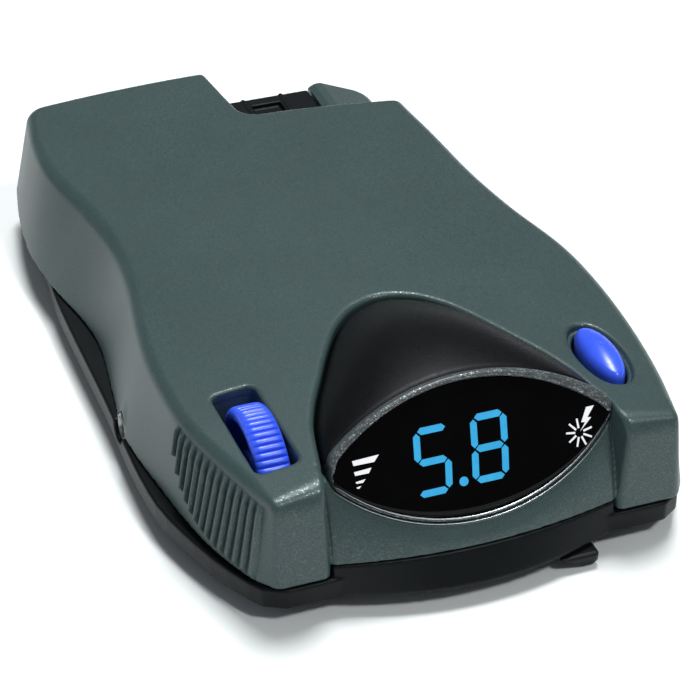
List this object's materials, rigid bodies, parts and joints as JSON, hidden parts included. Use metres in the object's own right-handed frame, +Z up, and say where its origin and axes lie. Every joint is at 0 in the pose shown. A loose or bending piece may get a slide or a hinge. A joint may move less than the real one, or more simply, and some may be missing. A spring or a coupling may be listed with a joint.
{
  "type": "trailer brake controller",
  "caption": "Under-dash trailer brake controller with a hooded two-digit display, ribbed power wheel, boost button, manual slide knob and rear plug socket.",
  "frame": {"origin": "in the plane of the flat underside, on the centre line, level with the two front corners", "axes": "+X to the right when facing the display, -Y towards the driver, +Z up"},
  "size_m": [0.093, 0.1415, 0.0343],
  "materials": {
    "flecked_shell": "satin",
    "black_shell": "satin",
    "hood": "satin",
    "frame": "satin",
    "lens": "polished",
    "lit_digit": "lit",
    "lit_icon": "lit",
    "blue_control": "satin",
    "knob_black": "matte",
    "circuit_board": "satin",
    "chip": "matte",
    "pale_plastic": "satin",
    "contact_metal": "satin",
    "steel": "satin",
    "insert_metal": "satin",
    "heat_metal": "satin",
    "rubber": "matte",
    "capacitor_sleeve": "satin",
    "label": "matte"
  },
  "bodies": {
    "case": {"top_housing": "flecked_shell", "bottom_housing": "black_shell", "hood_panel": "hood", "display_bezel": "frame", "display_lens": "lens", "digit_segments": "lit_digit", "status_icons": "lit_icon", "display_module": "chip", "display_board": "circuit_board", "display_header": "contact_metal", "wheel_potentiometer": "chip", "boost_dome": "rubber", "boost_switch": "chip", "slide_track": "chip", "main_board": "circuit_board", "microcontroller": "chip", "motion_sensor": "steel", "power_transistors": "chip", "heat_spreader": "heat_metal", "capacitors": "capacitor_sleeve", "inductor": "rubber", "chip_parts": "pale_plastic", "connector_shroud": "black_shell", "connector_pins": "contact_metal", "insert_left": "insert_metal", "insert_right": "insert_metal", "housing_screws": "steel", "board_screws": "steel", "rating_label": "label"},
    "wheel": {"power_wheel": "blue_control", "wheel_shaft": "steel"},
    "boost": {"boost_button": "blue_control", "button_plunger": "pale_plastic"},
    "manual": {"manual_knob": "knob_black", "slide_carriage": "pale_plastic"}
  },
  "joints": [
    {"name": "power_wheel_turn", "type": "hinge", "parent": "case", "child": "wheel", "pos_m": [-0.0312, 0.0192, 0.0138], "axis": [1, 0, 0], "range_deg": [-135, 135]},
    {"name": "boost_press", "type": "slide", "parent": "case", "child": "boost", "axis": [0, 0, -1], "range_m": [0, 0.001], "stiffness_N_per_m": 1500, "springref_m": -0.0004, "deforming": ["boost_dome"]},
    {"name": "manual_slide", "type": "slide", "parent": "case", "child": "manual", "axis": [-1, 0, 0], "range_m": [0, 0.024], "stiffness_N_per_m": 60, "springref_m": -0.006}
  ]
}
